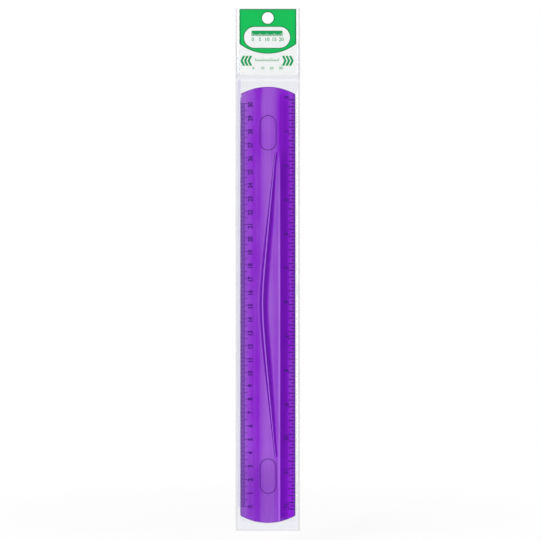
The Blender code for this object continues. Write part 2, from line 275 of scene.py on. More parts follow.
TOE_Z = BLADE_BOTTOM_Z - TOE_CLEARANCE
BOTTOM_WELD_Z = FRONT_LOW.z + BOTTOM_WELD
HEADER_FRONT_Y = CARD_LOW.y - GAP
HEADER_SEAL_Y = HEADER_BACK_LOW.y - GAP
WELD_Y = BACK_LOW.y - GAP
CENTIMETRE_LAST_Z = CENTIMETRE_ZERO_Z + 10 * CENTIMETRES * MILLIMETRE_PITCH

# Where the film's runs along the bag start and where they are full
SEAL_RUN = (SEAL_TOP_Z, SEAL_TOP_Z - 0.0016)
MOUTH_CREASES_START = (SEAL_TOP_Z + 0.002, SEAL_TOP_Z - 0.003)
MOUTH_CREASES_STOP = (BLADE_TOP_Z - 0.004, BLADE_TOP_Z - 0.035)
TOE_CREASES_START = (BLADE_BOTTOM_Z + 0.007, BLADE_BOTTOM_Z - 0.001)
TOE_CREASES_STOP = (BOTTOM_WELD_Z + 0.001, BOTTOM_WELD_Z)
BACK_BILLOW_STOP = (BACK_TOP_Z - 0.006, BACK_TOP_Z)
FLAP_BILLOW_START = (MOUTH_Z + 0.004, MOUTH_Z + 0.012)

# Depth of the front film's inside, from the bag's middle to its side, as (x, y)
HEADER_STATIONS = (
    (0.0, HEADER_FRONT_Y), (HALF_CARD + GAP, HEADER_FRONT_Y),
    (WELD_X, HEADER_SEAL_Y), (HALF_BAG, HEADER_SEAL_Y),
)
POUCH_STATIONS = (
    (0.0, BLADE_LOW.y - GAP), (HALF_PLATEAU, BLADE_LOW.y - GAP), (HALF_WIDTH + GAP, BAND_Y - GAP),
    (WELD_X, WELD_Y), (HALF_BAG, WELD_Y),
)

# Colours, linear
PURPLE = (0.268, 0.009, 0.660)
# DEEP_PURPLE, PALE_PURPLE and GLINT_PURPLE paint shade and highlights on the blade; DEEP_PURPLE is also
# the scale ink's lighter colour
DEEP_PURPLE = (0.148, 0.0005, 0.440)
PALE_PURPLE = (0.378, 0.116, 0.710)
GLINT_PURPLE = (0.480, 0.175, 0.860)
RIM_PURPLE = (0.170, 0.010, 0.380)
PAINTED_GLARE_PURPLE = (0.320, 0.185, 0.540)
SHADY_PURPLE = (0.100, 0.035, 0.220)
WORN_PURPLE = (0.330, 0.080, 0.600)
INK_PURPLE = (0.062, 0.0002, 0.225)
PAPER = (0.950, 0.970, 0.965)
SHADED_PAPER = (0.90, 0.93, 0.92)
FIELD_GREEN = (0.002, 0.560, 0.105)
LIGHT_GREEN = (0.02, 0.64, 0.16)
DEEP_GREEN = (0.004, 0.290, 0.085)
MOTIF_GREEN = (0.008, 0.380, 0.110)
TAPE = (0.90, 0.90, 0.88)
SHADED_TAPE = (0.78, 0.79, 0.77)

# Each film: its name, colour, colour where it is scuffed, share of mirror, cover and bump
FILMS = (
    ("clear_film", (0.92, 0.93, 0.95), (0.80, 0.81, 0.84), 1.0, 0.030, 0.25),
    ("cloudy_film", (0.08, 0.16, 0.50), (0.20, 0.28, 0.55), 0.0, 0.076, 0.25),
    ("faint_film", (0.08, 0.16, 0.50), (0.20, 0.28, 0.55), 0.0, 0.046, 0.25),
    # The shaded film paints shade and a purple cast of bounced light beside the blade; the weld film
    # also paints shade beside the card
    ("shaded_film", (0.28, 0.17, 0.72), (0.38, 0.28, 0.78), 0.1, 0.130, 0.25),
    ("weld_and_shade_film", (0.40, 0.41, 0.45), (0.60, 0.61, 0.65), 0.4, 0.085, 0.3),
)

# Painted highlight and shade across the blade, with some of the plastic's own deeper colour on its
# bevels, as (x, tone): -1 deep, 0 plain, PALE_TONE pale, 1 brightest.
# The tables are for most of the blade, for the part beside the upper frame and for the top end.
PALE_TONE = 0.7
TONE_REACH = HALF_WIDTH + 0.0020
TONES = (
    (-0.0206, -0.15), (-0.0186, -0.15), (-0.0172, 0.27), (-0.0158, 0.37), (-0.0140, 0.26),
    (-0.0118, 0.18), (-0.0095, 0.11), (-0.0072, 0.07), (-0.0050, 0.31), (-0.0036, 0.42),
    (-0.0015, 0.54), (0.0020, 0.58), (0.0055, 0.47), (0.0074, 0.32), (0.0084, 0.28),
    (0.0089, 0.28), (0.0094, -0.80), (0.0108, -0.95), (0.0128, -0.80), (0.0148, -0.45),
    (0.0160, 0.06), (0.0196, 0.06), (0.0206, -0.40),
)
UPPER_TONES = (
    (-0.0206, -0.15), (-0.0186, -0.12), (-0.0172, 0.40), (-0.0155, 0.46), (-0.0140, 0.36),
    (-0.0118, 0.20), (-0.0095, 0.10), (-0.0066, 0.06), (-0.0050, 0.31), (-0.0036, 0.42),
    (-0.0015, 0.54), (0.0020, 0.58), (0.0050, 0.40), (0.0066, 0.20), (0.0080, 0.02),
    (0.0088, -0.20), (0.0096, -0.32), (0.0128, -0.40), (0.0148, -0.20), (0.0160, 0.06),
    (0.0196, 0.06), (0.0206, -0.40),
)
TOP_TONES = (
    (-0.0206, -0.15), (-0.0186, -0.10), (-0.0172, 0.44), (-0.0155, 0.47), (-0.0140, 0.38),
    (-0.0125, 0.26), (-0.0110, 0.20), (-0.0095, 0.12), (-0.0066, 0.05), (-0.0050, 0.12),
    (-0.0036, 0.28), (-0.0020, 0.48), (0.0000, 0.60), (0.0024, 0.60), (0.0053, 0.45),
    (0.0068, 0.32), (0.0083, 0.17), (0.0098, 0.09), (0.0128, 0.08), (0.0175, 0.15),
    (0.0206, 0.05),
)
UPPER_TONES_RUN = (BLADE_TOP_Z - 0.0605, BLADE_TOP_Z - 0.0465)
TOP_TONES_RUN = (BLADE_TOP_Z - 0.0145, BLADE_TOP_Z - 0.0030)

# The band by the centimetre edge: painted film glare, stronger beside the scale, and a painted lighter
# tone beyond its ends
CENTIMETRE_EDGE_X = (-0.0158, -0.0188)
SCALE_EDGE_GLARE = 0.75
BARE_EDGE_GLARE = 0.50
BARE_EDGE_TONE = 0.25
# The shady line along the inch edge
INCH_EDGE_X = (0.0183, 0.0190)
INCH_EDGE_SHADE = 0.45
# The glint along the right shoulder, full at the lower end of its run
GLINT_INNER_X = (0.0072, 0.0084)
GLINT_OUTER_X = (0.0089, 0.0092)
GLINT_TONE = 0.62
GLINT_RUN = (BLADE_TOP_Z - 0.029, BLADE_TOP_Z - 0.130)
# The duller foot of the blade, left of that shoulder
FOOT_SHADE = 0.24
FOOT_SHADE_RUN = (BLADE_BOTTOM_Z + 0.055, BLADE_BOTTOM_Z + 0.034)
FOOT_SHADE_END_X = (0.0066, 0.0078)
# The darker rim of the rounded ends, and the rubbed edges
RIM_SHADE = 0.85
RIM_INSIDE = 0.0008
RIM_OUTSIDE = 0.0003
WEAR = 0.35
WEAR_WIDTH = 0.0004
# Streaks of the plastic's flow, wide clouds and fine rubbing
FLOW_SCALE = (330, 330, 7)
STREAK_TONE = 0.07
CLOUD_SCALE = 26.0
DRIFT_TONE = 0.05
RUB_SCALE = (900, 900, 40)

# Floor and light. Each lamp has a name, a place, a size and its watts.
FLOOR_Z = FRONT_LOW.z - 0.012
FLOOR_SIDE = 6.0
FLOOR_MIDDLE_Y = FLOOR_SIDE / 2 - 0.12
FLOOR_COLOUR = (0.96, 0.96, 0.96)
FLOOR_MOTTLE = (0.98, 0.98, 0.98)
FLOOR_PAPER_SHARE = 0.84
FLOOR_FADE_CENTRE_Y = 0.20
FLOOR_FADE_START = 0.06
FLOOR_FADE_END = 0.31
WORLD_LEVEL = 0.10
LAMPS = (
    ("left_key", (-1.10, -1.40, 0.55), (1.0, 0.9), 33.5),
    ("right_fill", (1.25, -1.25, 0.55), (0.7, 0.9), 10.0),
    ("right_edge", (1.2, -0.12, BLADE_MIDDLE_Z), (0.5, 1.0), 6.0),
    ("face_strip", (0.012, -2.2, -0.26), (0.10, 0.78), 0.03),
    ("back_fill", (0.5, 1.6, 0.4), (0.9, 0.9), 20.0),
)


def deselect():
    bpy.ops.object.select_all(action="DESELECT")


def active():
    return bpy.context.view_layer.objects.active


def alone(piece):
    """Selects one piece and nothing else."""
    deselect()
    piece.select_set(True)
    bpy.context.view_layer.objects.active = piece


def settle(piece):
    """Puts a piece's place, turn and size into its mesh."""
    alone(piece)
    bpy.ops.object.transform_apply(location=True, rotation=True, scale=True)
    return piece


def open_mesh(piece):
    """Opens a piece in edit mode with all its points selected."""
    alone(piece)
    bpy.ops.object.mode_set(mode="EDIT")
    bpy.ops.mesh.select_all(action="SELECT")


def close_mesh(face_outwards=False):
    if face_outwards:
        bpy.ops.mesh.select_all(action="SELECT")
        bpy.ops.mesh.normals_make_consistent(inside=False)
    bpy.ops.object.mode_set(mode="OBJECT")


def modify(piece, kind, **settings):
    """Adds a modifier with its settings, and applies it."""
    modifier = piece.modifiers.new(kind.capitalize(), kind)
    for name, value in settings.items():
        setattr(modifier, name, value)
    alone(piece)
    bpy.ops.object.modifier_apply(modifier=modifier.name)


def join(pieces, name):
    deselect()
    for piece in pieces:
        piece.select_set(True)
    bpy.context.view_layer.objects.active = pieces[0]
    bpy.ops.object.join()
    joined = active()
    joined.name = name
    return joined


def finish_piece(piece, body, material, stands_for=()):
    """Gives a piece its material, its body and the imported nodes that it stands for."""
    settle(piece)
    piece.data.materials.clear()
    piece.data.materials.append(material)
    bpy.ops.object.shade_smooth_by_angle(angle=SMOOTH_ANGLE)
    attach(piece, body)
    if stands_for:
        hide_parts(*stands_for)


def upright_grid(name, low, high, columns, rows):
    """A flat grid that faces -Y, between two corners as (x, z)."""
    deselect()
    bpy.ops.mesh.primitive_grid_add(
        x_subdivisions=columns, y_subdivisions=rows, size=1,
        location=((low[0] + high[0]) / 2, 0, (low[1] + high[1]) / 2), rotation=UPRIGHT,
    )
    grid = active()
    grid.name = name
    grid.scale = (high[0] - low[0], high[1] - low[1], 1)
    return settle(grid)


def smooth_share(value, start, end):
    """0 at start, 1 at end, with a soft run between them."""
    share = min(max((value - start) / (end - start), 0), 1)
    return share * share * (3 - 2 * share)


def read_section(place, section):
    """Reads a section of (place, height) pairs, straight between them."""
    if place <= section[0][0]:
        return section[0][1]
    for (near, low), (far, high) in zip(section, section[1:]):
        if place <= far:
            return low + (high - low) * (place - near) / (far - near)
    return section[-1][1]


# The blade's surface

def sharp_face_y(x):
    """Depth of the face without its rib: crowned middle, bevels and flat scale bands."""
    distance = abs(x)
    if distance <= HALF_PLATEAU:
        return FACE_Y + PLATEAU_CROWN * (distance / HALF_PLATEAU) ** 2
    shoulder_y = FACE_Y + PLATEAU_CROWN
    share = min((distance - HALF_PLATEAU) / (BAND_X - HALF_PLATEAU), 1)
    return shoulder_y + (BAND_Y - shoulder_y) * share


def rib_crest_x(along):
    """Where the rib's crest lies: round in the middle, nearly straight to its tips."""
    reach = math.hypot(along, RIB_BEND_SHARE) - RIB_BEND_SHARE
    full_reach = math.hypot(1, RIB_BEND_SHARE) - RIB_BEND_SHARE
    return RIB_BOW * reach / full_reach - RIB_OFFSET


def rib_place(z):
    """The rib's foot, width and height at a place along the blade."""
    along = min(max((z - BLADE_MIDDLE_Z) / RIB_HALF_LENGTH, -1), 1)
    fullness = 1 - along**2
    width = RIB_TIP_WIDTH + (RIB_WIDTH - RIB_TIP_WIDTH) * fullness
    fade = smooth_share(1 - abs(along), 0, RIB_FADE_SHARE)
    height = (RIB_TIP_HEIGHT + (RIB_HEIGHT - RIB_TIP_HEIGHT) * fullness) * fade
    return rib_crest_x(along) - width * RIB_STEEP_SHARE, width, height


def face_y(x, z):
    """Depth of the finished face, with soft shoulders and the crescent rib."""
    around = sharp_face_y(x - SHOULDER_RADIUS) + 2 * sharp_face_y(x) + sharp_face_y(x + SHOULDER_RADIUS)
    foot_x, width, height = rib_place(z)
    return around / 4 - height * read_section((x - foot_x) / width, RIB_SECTION_SHARES)


def arc_drop(x):
    """How far the arc of an end lies short of its furthest point at x."""
    return END_RADIUS - math.sqrt(END_RADIUS**2 - x**2)


def end_drop(x):
    """The same for the whole end, with its rounded corners."""
    corner_x = HALF_WIDTH - CORNER_RADIUS
    slope = math.asin(HALF_WIDTH / END_RADIUS)
    meet_x = corner_x + CORNER_RADIUS * math.sin(slope)
    distance = min(abs(x), HALF_WIDTH)
    if distance <= meet_x:
        return arc_drop(distance)
    centre_drop = arc_drop(meet_x) + CORNER_RADIUS * math.cos(slope)
    return centre_drop - math.sqrt(max(CORNER_RADIUS**2 - (distance - corner_x) ** 2, 0))


def add_even(places, end, count):
    """Adds even places between the last of them and the end."""
    start = places[-1]
    places += [start + (end - start) * i / count for i in range(1, count)]


def add_shoulder(places, x):
    """Adds the places that round off a shoulder or a band's inner edge."""
    places += [x + SHOULDER_RADIUS * share for share in (-1, -0.5, 0, 0.5, 1)]


def column_places(z):
    """Where the face has its lines of points: closer at its corners, shoulders and rib."""
    foot_x, width, _ = rib_place(z)
    rib = [foot_x + share * width for share, _ in RIB_SECTION_SHARES]
    corner = [
        HALF_WIDTH - CORNER_RADIUS * (1 - math.sin(QUARTER_TURN * i / CORNER_COLUMNS))
        for i in range(CORNER_COLUMNS + 1)
    ]
    places = [-x for x in reversed(corner)]
    add_even(places, -BAND_X - SHOULDER_RADIUS, SLOPE_COLUMNS)
    add_shoulder(places, -BAND_X)
    add_even(places, -HALF_PLATEAU - SHOULDER_RADIUS, SLOPE_COLUMNS)
    add_shoulder(places, -HALF_PLATEAU)
    add_even(places, rib[0], PLATEAU_COLUMNS)
    places += rib
    add_even(places, HALF_PLATEAU - SHOULDER_RADIUS, PLATEAU_COLUMNS)
    add_shoulder(places, HALF_PLATEAU)
    add_even(places, BAND_X - SHOULDER_RADIUS, SLOPE_COLUMNS)
    add_shoulder(places, BAND_X)
    add_even(places, corner[0], SLOPE_COLUMNS)
    return places + corner


def blade_point(column, row):
    """A point of the face. Rows are straight in the middle and bend into the rounded ends."""
    along = 2 * row / BLADE_ROWS - 1
    x = column_places(BLADE_MIDDLE_Z + along * HALF_LENGTH)[column]
    bend = smooth_share(abs(along), END_BEND_SHARE, 1)
    z = BLADE_MIDDLE_Z + math.copysign(abs(along) * HALF_LENGTH - bend * end_drop(x), along)
    return Vector((x, face_y(x, z), z))


def mark_rib_shade(blade):
    """Stores on the face the painted highlight and shade round the rib."""
    shade = blade.data.attributes.new("rib_shade", "FLOAT", "POINT")
    for point, value in zip(blade.data.vertices, shade.data):
        foot_x, width, _ = rib_place(point.co.z)
        along = min(abs(point.co.z - BLADE_MIDDLE_Z) / RIB_HALF_LENGTH, 1)
        on_face = point.co.y < BAND_Y - EDGE_ROUNDING
        place = (point.co.x - foot_x) / max(width, RIB_SHADE_TIP_WIDTH)
        fade = smooth_share(1 - along, 0, RIB_SHADE_FADE_SHARE)
        value.value = read_section(place, RIB_SHADE_SHARES) * fade if on_face else 0


def make_blade(material):
    columns = len(column_places(BLADE_MIDDLE_Z)) - 1
    low = (BLADE_LOW.x, BLADE_BOTTOM_Z)
    high = (BLADE_HIGH.x, BLADE_TOP_Z)
    blade = upright_grid("blade_moulding", low, high, columns, BLADE_ROWS)
    for point in blade.data.vertices:
        column = round((point.co.x - low[0]) / (high[0] - low[0]) * columns)
        row = round((point.co.z - low[1]) / (high[1] - low[1]) * BLADE_ROWS)
        point.co = blade_point(column, row)
    open_mesh(blade)
    bpy.ops.mesh.region_to_loop()
    bpy.ops.mesh.extrude_region_move(TRANSFORM_OT_translate={"value": (0, BLADE_THICKNESS, 0)})
    bpy.ops.transform.resize(value=(1, 0, 1), center_override=(0, BLADE_BACK_Y, 0))
    bpy.ops.mesh.edge_face_add()
    close_mesh(face_outwards=True)
    modify(
        blade, "BEVEL", width=EDGE_ROUNDING, segments=EDGE_ROUNDING_STEPS,
        limit_method="ANGLE", angle_limit=SHARP_ANGLE, use_clamp_overlap=False,
    )
    mark_rib_shade(blade)
    finish_piece(blade, "ruler", material, ["blade"])


# Ink on the blade

def lay_on_face(piece):
    """Lays a flat piece of ink on the blade's face."""
    settle(piece)
    for point in piece.data.vertices:
        point.co.y += face_y(point.co.x, point.co.z)
    return piece


def make_tick(length, width, side, z):
    """An inked line in from the blade's edge. Side is -1 on the left and 1 on the right."""
    centre_x = side * (HALF_WIDTH - (EDGE_CLEARANCE + length) / 2)
    deselect()
    bpy.ops.mesh.primitive_cube_add(size=1, location=(centre_x, INK_DEPTH / 2 - INK_PROUD, z))
    tick = active()
    tick.scale = (length - EDGE_CLEARANCE, INK_DEPTH, width)
    settle(tick)
    open_mesh(tick)
    bpy.ops.mesh.bevel(offset=INK_PROUD / 2, segments=1, affect="EDGES")
    close_mesh()
    return tick


def make_ticks(name, side, zero_z, pitch, group, groups, short, long, width, material):
    """A scale in groups of one long tick and short ones after it, with a long one at its end."""
    first = [make_tick(short if i else long, width, side, zero_z + i * pitch) for i in range(group)]
    scale = join(first, name)
    modify(
        scale, "ARRAY", use_relative_offset=False, use_constant_offset=True,
        constant_offset_displace=(0, 0, group * pitch), count=groups,
    )
    last = make_tick(long, width, side, zero_z + groups * group * pitch)
    scale = lay_on_face(join([scale, last], name))
    finish_piece(scale, "ruler", material)


def solid_number(text, height, boldness, depth, align, placing, merge_distance):
    """A number as a solid piece. Unplaced, it reads along X and is aligned on the origin."""
    deselect()
    bpy.ops.object.text_add()
    digits = active().data
    digits.body = text
    digits.align_x = align
    digits.align_y = "CENTER"
    digits.size = height / GLYPH_HEIGHT_SHARE
    digits.extrude = depth / 2
    digits.offset = boldness
    digits.resolution_u = GLYPH_STEPS
    bpy.ops.object.convert(target="MESH")
    number = active()
    number.matrix_world = placing
    settle(number)
    open_mesh(number)
    bpy.ops.mesh.remove_doubles(threshold=merge_distance)
    close_mesh()
    return number


def make_number(value, x, z, side):
    """A number along the blade, with its top towards the edge on that side."""
    reading = Vector((0, 0, -side))
    upward = Vector((side, 0, 0))
    turn = Matrix((reading, upward, reading.cross(upward))).transposed().to_4x4()
    narrow = Matrix.Diagonal((NUMBER_NARROWING, 1, 1, 1))
    place = Matrix.Translation((x, INK_DEPTH / 2 - INK_PROUD, z))
    return solid_number(
        str(value), NUMBER_HEIGHT, NUMBER_BOLDNESS, INK_DEPTH, "RIGHT",
        place @ turn @ narrow, INK_PROUD * MERGE_SHARE,
    )


def make_numbers(name, values, x, zero_z, step, end, side, material):
    """The numbers of a scale, each with its end beside its mark."""
    first_z = zero_z - side * end
    numbers = [make_number(value, x, first_z + value * step, side) for value in values]
    finish_piece(lay_on_face(join(numbers, name)), "ruler", material)


def make_scales(ink):
    make_ticks(
        "centimetre_ticks", -1, CENTIMETRE_ZERO_Z, MILLIMETRE_PITCH, 5, 2 * CENTIMETRES,
        MILLIMETRE_TICK, CENTIMETRE_TICK, MILLIMETRE_TICK_WIDTH, ink,
    )
    make_numbers(
        "centimetre_numbers", range(CENTIMETRES + 1), CENTIMETRE_NUMBER_X, CENTIMETRE_ZERO_Z,
        10 * MILLIMETRE_PITCH, CENTIMETRE_NUMBER_END, -1, ink,
    )
    make_ticks(
        "inch_ticks", 1, INCH_ZERO_Z, -TENTH_INCH_PITCH, 2, 5 * INCHES,
        SHORT_INCH_TICK, LONG_INCH_TICK, INCH_TICK_WIDTH, ink,
    )
    make_numbers(
        "inch_numbers", range(INCHES + 1), INCH_NUMBER_X, INCH_ZERO_Z,
        -10 * TENTH_INCH_PITCH, INCH_NUMBER_END, 1, ink,
    )


def make_stadium_frame(name, z, ink):
    """A thin printed frame with round ends."""
    deselect()
    bpy.ops.mesh.primitive_plane_add(size=1, location=(FRAME_X, -INK_PROUD, z), rotation=UPRIGHT)
    stadium = active()
    stadium.scale = (FRAME_WIDTH, FRAME_HEIGHT, 1)
    settle(stadium)
    open_mesh(stadium)
    bpy.ops.mesh.bevel(offset=FRAME_ROUNDING, segments=FRAME_ROUNDING_STEPS, affect="VERTICES")
    bpy.ops.mesh.inset(thickness=FRAME_LINE)
    bpy.ops.mesh.delete(type="FACE")
    bpy.ops.mesh.select_all(action="SELECT")
    bpy.ops.mesh.subdivide(number_cuts=1)
    bpy.ops.mesh.extrude_region_move(TRANSFORM_OT_translate={"value": (0, INK_DEPTH, 0)})
    close_mesh(face_outwards=True)
    stadium.name = name
    finish_piece(lay_on_face(stadium), "ruler", ink)


# Header card and its print

def arc_points(centre, radius, start, end, steps):
    """Points on a circle in the XZ plane, angles in degrees from +X."""
    places = [math.radians(start + (end - start) * i / steps) for i in range(steps + 1)]
    return [(centre[0] + radius * math.cos(a), centre[1] + radius * math.sin(a)) for a in places]


def panel_points(spread):
    """The card's panel, a lying stadium, made larger all round by spread."""
    radius = (PANEL_HEIGHT + 2 * spread) / 2
    reach = (PANEL_WIDTH + 2 * spread) / 2 - radius
    right = arc_points((PANEL_X + reach, PANEL_Z), radius, -90, 90, PANEL_END_STEPS)
    left = arc_points((PANEL_X - reach, PANEL_Z), radius, 90, 270, PANEL_END_STEPS)
    return right + left


def hole_points(spread):
    """The hang hole, made larger all round by spread."""
    return arc_points((0, 0), HOLE_RADIUS + spread, 0, 360 - 360 / HOLE_STEPS, HOLE_STEPS - 1)


def field_points(inset):
    """The coloured field, with square shoulders and a bowed lower edge."""
    half = HALF_CARD - inset
    top = CARD_HIGH.z - inset
    side_z = CARD_HIGH.z - CARD_SIDE_TO_FIELD_END
    radius = (HALF_CARD**2 + FIELD_BOW**2) / (2 * FIELD_BOW)
    centre_z = side_z - FIELD_BOW + radius
    reach = math.degrees(math.asin(half / radius))
    bow = arc_points((0, centre_z), radius - inset, -90 - reach, -90 + reach, FIELD_BOW_STEPS)
    return bow + [(half, top), (-half, top)]


def rectangle_points(centre, width, height):
    corners = ((-1, -1), (1, -1), (1, 1), (-1, 1))
    return [(centre[0] + i * width / 2, centre[1] + j * height / 2) for i, j in corners]


def node_points(low, high):
    """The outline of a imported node, seen from the front."""
    return rectangle_points((0, (high.z + low.z) / 2), high.x - low.x, high.z - low.z)


def flat_piece(name, outlines, front_y, thickness):
    """A flat filled shape that faces -Y. Outlines inside others are holes in it."""
    curve = bpy.data.curves.new(name, "CURVE")
    curve.dimensions = "2D"
    curve.fill_mode = "BOTH"
    curve.extrude = thickness / 2
    for outline in outlines:
        spline = curve.splines.new("POLY")
        spline.points.add(len(outline) - 1)
        for point, (x, z) in zip(spline.points, outline):
            point.co = (x, z, 0, 1)
        spline.use_cyclic_u = True
    shape = bpy.data.objects.new(name, curve)
    bpy.context.scene.collection.objects.link(shape)
    alone(shape)
    bpy.ops.object.convert(target="MESH")
    shape = active()
    shape.rotation_euler = UPRIGHT
    shape.location = (0, front_y + thickness / 2, 0)
    settle(shape)
    open_mesh(shape)
    bpy.ops.mesh.remove_doubles(threshold=PRINT_THICKNESS * MERGE_SHARE)
    close_mesh(face_outwards=True)
    return shape


def printed(name, outlines, layer=1):
    """A printed shape on the card's front, in the first layer of ink or over it."""
    return flat_piece(name, outlines, CARD_LOW.y - layer * PRINT_THICKNESS, PRINT_THICKNESS)


def printed_numbers(texts, width, z, height):
    """Printed numbers, upright on the card and spread over a width."""
    numbers = []
    turn = Matrix.Rotation(QUARTER_TURN, 4, "X")
    for text, x in zip(texts, spread_places(width, len(texts))):
        place = Matrix.Translation((PANEL_X + x, CARD_LOW.y - PRINT_THICKNESS / 2, z))
        numbers.append(solid_number(
            text, height, height * PRINTED_BOLDNESS_SHARE, PRINT_THICKNESS, "CENTER",
            place @ turn, PRINT_THICKNESS * MERGE_SHARE,
        ))
    return numbers


def spread_places(width, count):
    return [-width / 2 + width * i / (count - 1) for i in range(count)]


def make_header_card(board, field_ink, keyline_ink, motif_ink):
    outline = node_points(CARD_LOW, CARD_HIGH)
    thickness = CARD_HIGH.y - CARD_LOW.y
    card = flat_piece("header_board", [outline, hole_points(0)], CARD_LOW.y, thickness)
    finish_piece(card, "bag", board, ["header_card"])
    shapes = [field_points(0), hole_points(PRINT_THICKNESS), panel_points(0)]
    finish_piece(printed("printed_keyline", shapes), "bag", keyline_ink)
    shapes = [field_points(KEYLINE), hole_points(KEYLINE), panel_points(KEYLINE)]
    finish_piece(printed("printed_field", shapes, 2), "bag", field_ink)
    make_card_motif(motif_ink)


def notch_length(i):
    return SHORT_NOTCH if i % NOTCHES_TO_A_LONG_ONE else LONG_NOTCH


def bar_points(middle_z):
    """A bar with a row of notches in its lower edge."""
    left = PANEL_X - BAR_WIDTH / 2
    right = PANEL_X + BAR_WIDTH / 2
    foot = middle_z - BAR_HEIGHT / 2
    top = middle_z + BAR_HEIGHT / 2
    outline = [(left, top), (left, foot)]
    for i, x in enumerate(spread_places(BAR_SCALE_WIDTH, NOTCHES)):
        near = PANEL_X + x - NOTCH_WIDTH / 2
        far = near + NOTCH_WIDTH
        end = foot + notch_length(i)
        outline += [(near, foot), (near, end), (far, end), (far, foot)]
    return outline + [(right, foot), (right, top)]


def chevron_points(side, i):
    """One of the chevrons beside the small scale, pointing away from it."""
    x = PANEL_X + side * (CHEVRON_X + i * CHEVRON_PITCH)
    half = CHEVRON_HEIGHT / 2
    tip = (x + side * CHEVRON_LEAN, LOWER_MOTIF_Z)
    inner = [(x, LOWER_MOTIF_Z + half), tip, (x, LOWER_MOTIF_Z - half)]
    outer = [(near_x + side * CHEVRON_WIDTH, z) for near_x, z in reversed(inner)]
    return inner + outer


def make_card_motif(ink):
    bar_z = PANEL_Z + BAR_RISE
    digits_z = bar_z - PANEL_DIGIT_DROP - PANEL_DIGIT / 2
    pieces = [printed("bar", [bar_points(bar_z)])]
    pieces += printed_numbers(PANEL_DIGITS, BAR_SCALE_WIDTH, digits_z, PANEL_DIGIT)
    line = rectangle_points((PANEL_X, LOWER_MOTIF_Z), LOWER_LINE_WIDTH, LOWER_LINE_THICKNESS)
    pieces.append(printed("line", [line]))
    for i, x in enumerate(spread_places(LOWER_LINE_WIDTH, LOWER_TICKS)):
        centre = (PANEL_X + x, LOWER_MOTIF_Z + notch_length(i) / 2)
        pieces.append(printed("tick", [rectangle_points(centre, NOTCH_WIDTH, notch_length(i))]))
    pieces += printed_numbers(LOWER_DIGITS, LOWER_DIGITS_WIDTH, LOWER_DIGIT_Z, LOWER_DIGIT)
    for side in (-1, 1):
        pieces += [printed("chevron", [chevron_points(side, i)]) for i in range(CHEVRONS)]
    finish_piece(join(pieces, "printed_motif"), "bag", ink)


# Film of the bag

def soft_noise(x, y, z):
    return noise.noise(Vector((x, y, z)))


def swell(x, z, height, across, along, seed):
    """A soft wave of the film."""
    return height * soft_noise(x / across, seed, z / along)


def billow(x, z, height, across, along, seed):
    """How far free film stands off its plane, in soft waves."""
    return height * (BILLOW_MIDDLE + soft_noise(x / across, seed, z / along))


def weld_waviness(x, z):
    """The slight wave that heat leaves in a welded edge, the same for both films."""
    near_edge = smooth_share(abs(x), WELD_X - WELD_WAVE_REACH, WELD_X)
    return near_edge * WELD_WAVE_HEIGHT * soft_noise(WELD_SEEDS[x > 0], 0.0, z / WELD_WAVE_LENGTH)


def side_puckers(x, z):
    """Small folds in the free film beside the blade, in from the side welds."""
    distance = abs(x)
    near_edge = smooth_share(distance, HALF_PLATEAU, HALF_WIDTH) * (
        1 - smooth_share(distance, WELD_X - PUCKER_FADE, WELD_X)
    )
    seed = PUCKER_SEEDS[x > 0]
    total = 0
    for height, across, along in (SLOW_PUCKER, QUICK_PUCKER):
        total += height * soft_noise(seed, distance / across, z / along)
        seed += QUICK_PUCKER_SEED_STEP
    return near_edge * total


def mouth_creases(x, z):
    """Creases that fan from the header's seal down to the blade's top corners."""
    there = smooth_share(z, *MOUTH_CREASES_START) * (1 - smooth_share(z, *MOUTH_CREASES_STOP))
    fan = math.sin(x / FAN_SPACING + swell(x, z, *FAN_BEND))
    edge = 1 - MOUTH_CREASE_EDGE_SHARE * smooth_share(abs(x), WELD_X - EDGE_FADE, WELD_X)
    return there * edge * (FAN_HEIGHT * fan + swell(x, z, *MOUTH_CREASE))


def toe_creases(x, z):
    there = smooth_share(z, *TOE_CREASES_START) * (1 - smooth_share(z, *TOE_CREASES_STOP))
    return there * swell(x, z, *TOE_CREASE)


def drape_y(x, z):
    """Depth of the film's inside: flat on the card, sealed under it, then over the blade."""
    depth = read_section(abs(x), HEADER_STATIONS)
    depth += (HEADER_SEAL_Y - depth) * smooth_share(z, *SEAL_RUN)
    pouch_y = read_section(abs(x), POUCH_STATIONS)
    depth += (pouch_y - depth) * smooth_share(z, MOUTH_Z, BLADE_TOP_Z - END_RISE)
    depth += (WELD_Y - depth) * smooth_share(z, TOE_Z, BOTTOM_WELD_Z)
    depth -= smooth_share(z, MOUTH_Z, BLADE_TOP_Z) * side_puckers(x, z)
    return depth - (mouth_creases(x, z) + toe_creases(x, z))


def lies_on_blade(x, z):
    """Whether the blade, with a little room at its ends, is behind a place."""
    along = abs(z - BLADE_MIDDLE_Z)
    return abs(x) < HALF_WIDTH + GAP and along < HALF_LENGTH - end_drop(x) + TOE_CLEARANCE


def front_film_y(x, z):
    """The draped film, kept clear of the card, the blade and the back film."""
    depth = drape_y(x, z)
    if z > SEAL_TOP_Z:
        limit = HEADER_FRONT_Y if abs(x) < HALF_CARD + GAP else HEADER_SEAL_Y
        depth = min(depth, limit)
    elif z > MOUTH_Z:
        depth = min(depth, HEADER_SEAL_Y)
    elif lies_on_blade(x, z):
        depth = min(depth, face_y(x, z) - FILM_REST_GAP)
    return min(depth, WELD_Y) + weld_waviness(x, z)


def cut_hole(piece):
    deselect()
    bpy.ops.mesh.primitive_cylinder_add(
        vertices=HOLE_CUTTER_STEPS, radius=HOLE_RADIUS, depth=HOLE_CUTTER_DEPTH, rotation=UPRIGHT
    )
    cutter = settle(active())
    modify(piece, "BOOLEAN", operation="DIFFERENCE", solver="EXACT", object=cutter)
    bpy.data.objects.remove(cutter, do_unlink=True)


def thicken(piece):
    modify(piece, "SOLIDIFY", thickness=FILM_THICKNESS, offset=0)


